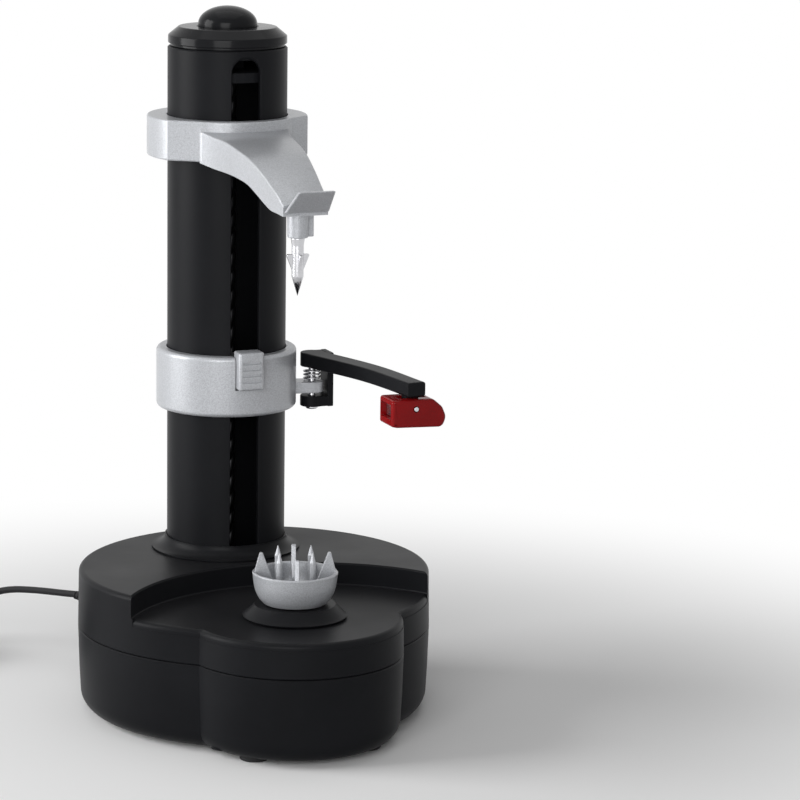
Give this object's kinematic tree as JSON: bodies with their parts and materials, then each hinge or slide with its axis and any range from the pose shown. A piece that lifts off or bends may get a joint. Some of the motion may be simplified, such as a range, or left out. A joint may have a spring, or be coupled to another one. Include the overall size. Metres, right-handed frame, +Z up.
{
  "type": "electric peeler",
  "caption": "Electric peeler: two-level base with drive train, slotted column with lead screw, turning food holder, sliding upper arm and a carriage with a swinging blade arm",
  "frame": {"origin": "On the surface that the peeler stands on, under the middle of the base's bounding box", "axes": "+Z is up along the column, and -Y points to the front, from the column to the food holder"},
  "size_m": [0.2815, 0.2513, 0.2919],
  "materials": {
    "black_satin": "satin",
    "black_gloss": "gloss",
    "silver_paint": "satin metallic paint",
    "red_gloss": "gloss",
    "white_nylon": "matte",
    "steel": "satin",
    "brass": "satin",
    "rubber": "matte",
    "green_board": "satin",
    "cell_jacket": "gloss"
  },
  "bodies": {
    "base": {"base_bottom": "black_satin", "base_housing": "black_satin", "foot_1": "rubber", "foot_2": "rubber", "foot_3": "rubber", "foot_4": "rubber", "housing_screw_1": "steel", "housing_screw_2": "steel", "housing_screw_3": "steel", "housing_screw_4": "steel", "battery_holder": "black_satin", "battery_cell_1": "cell_jacket", "battery_cell_2": "cell_jacket", "battery_cell_3": "cell_jacket", "battery_cell_4": "cell_jacket", "battery_contact_front": "steel", "battery_contact_rear": "steel", "gear_frame": "white_nylon", "gear_frame_lid": "white_nylon", "motor": "steel", "circuit_board": "green_board", "column_tube": "black_satin", "column_foot_ring": "black_satin", "column_cap": "black_gloss", "power_button_spring": "steel", "power_switch": "black_satin", "stop_switch": "black_satin", "screw_bearing_lower": "brass", "screw_bearing_upper": "black_satin", "spindle_bush": "brass", "power_jack": "black_satin", "barrel_plug": "black_satin", "plug_strain_relief": "black_satin", "power_cord": "rubber", "cord_coil": "rubber", "adapter_cord": "rubber", "wall_adapter": "black_satin"},
    "battery_door": {"battery_door": "black_satin"},
    "food_holder": {"food_cup": "silver_paint", "cup_skirt": "black_satin", "holder_spindle": "steel", "spindle_gear": "white_nylon"},
    "idler": {"idler_gear": "white_nylon"},
    "screw": {"lead_screw": "steel", "screw_gear": "white_nylon"},
    "reduction": {"reduction_gear": "white_nylon"},
    "rotor": {"motor_pinion": "brass"},
    "power_button": {"power_button": "black_gloss"},
    "carriage": {"carriage_collar": "silver_paint", "arm_hinge_pin": "steel", "arm_spring": "steel"},
    "carriage_latch": {"carriage_latch": "silver_paint"},
    "peel_arm": {"peel_arm": "black_satin", "blade_pin": "steel"},
    "blade_head": {"blade_head": "red_gloss", "blade": "steel"},
    "upper_arm": {"upper_arm": "silver_paint", "arm_release_spring": "steel"},
    "arm_release": {"arm_release": "black_satin"},
    "top_spike": {"top_spike": "steel"}
  },
  "joints": [
    {"name": "food_holder_spin", "type": "hinge", "parent": "base", "child": "food_holder", "pos_m": [0, -0.0398, 0.052], "axis": [0, 0, 1], "continuous": true},
    {"name": "idler_spin", "type": "hinge", "parent": "base", "child": "idler", "pos_m": [0, 0.0042, 0.028], "axis": [0, 0, 1], "continuous": true},
    {"name": "screw_spin", "type": "hinge", "parent": "base", "child": "screw", "pos_m": [0, 0.0482, 0.028], "axis": [0, 0, 1], "continuous": true},
    {"name": "reduction_spin", "type": "hinge", "parent": "base", "child": "reduction", "pos_m": [-0.0275, 0.0042, 0.028], "axis": [0, 0, 1], "continuous": true},
    {"name": "rotor_spin", "type": "hinge", "parent": "base", "child": "rotor", "pos_m": [-0.05087, 0.0042, 0.036], "axis": [0, 0, 1], "continuous": true},
    {"name": "carriage_slide", "type": "slide", "parent": "base", "child": "carriage", "axis": [0, 0, 1], "range_m": [-0.05, 0.075]},
    {"name": "carriage_latch_pull", "type": "slide", "parent": "carriage", "child": "carriage_latch", "axis": [0, -1, 0], "range_m": [0, 0.0025], "stiffness_N_per_m": 300},
    {"name": "peel_arm_swing", "type": "hinge", "parent": "carriage", "child": "peel_arm", "pos_m": [0.036, 0.041, 0.1302], "axis": [0, 0, -1], "range_deg": [-12, 38], "stiffness_Nm_per_rad": 0.02},
    {"name": "blade_head_tilt", "type": "hinge", "parent": "peel_arm", "child": "blade_head", "pos_m": [0.0535, -0.0283, 0.1337], "axis": [0, 1, 0], "range_deg": [-8, 8]},
    {"name": "upper_arm_slide", "type": "slide", "parent": "base", "child": "upper_arm", "axis": [0, 0, 1], "range_m": [-0.07, 0.0215]},
    {"name": "arm_release_press", "type": "slide", "parent": "upper_arm", "child": "arm_release", "axis": [0, -1, 0], "range_m": [0, 0.002], "stiffness_N_per_m": 400},
    {"name": "top_spike_spin", "type": "hinge", "parent": "upper_arm", "child": "top_spike", "pos_m": [0, -0.0398, 0.209], "axis": [0, 0, 1], "continuous": true},
    {"name": "power_button_press", "type": "slide", "parent": "base", "child": "power_button", "axis": [0, 0, -1], "range_m": [0, 0.0023], "stiffness_N_per_m": 400, "springref_m": -0.001, "deforming": ["power_button_spring"]},
    {"name": "battery_door_swing", "type": "hinge", "parent": "base", "child": "battery_door", "pos_m": [0, 0.0194, 0.0023], "axis": [1, 0, 0], "range_deg": [0, 80]}
  ],
  "couplings": [
    {"joint": "idler_spin", "follows": "food_holder_spin", "ratio": -1},
    {"joint": "screw_spin", "follows": "food_holder_spin", "ratio": 1},
    {"joint": "reduction_spin", "follows": "food_holder_spin", "ratio": 4},
    {"joint": "rotor_spin", "follows": "food_holder_spin", "ratio": -13}
  ]
}
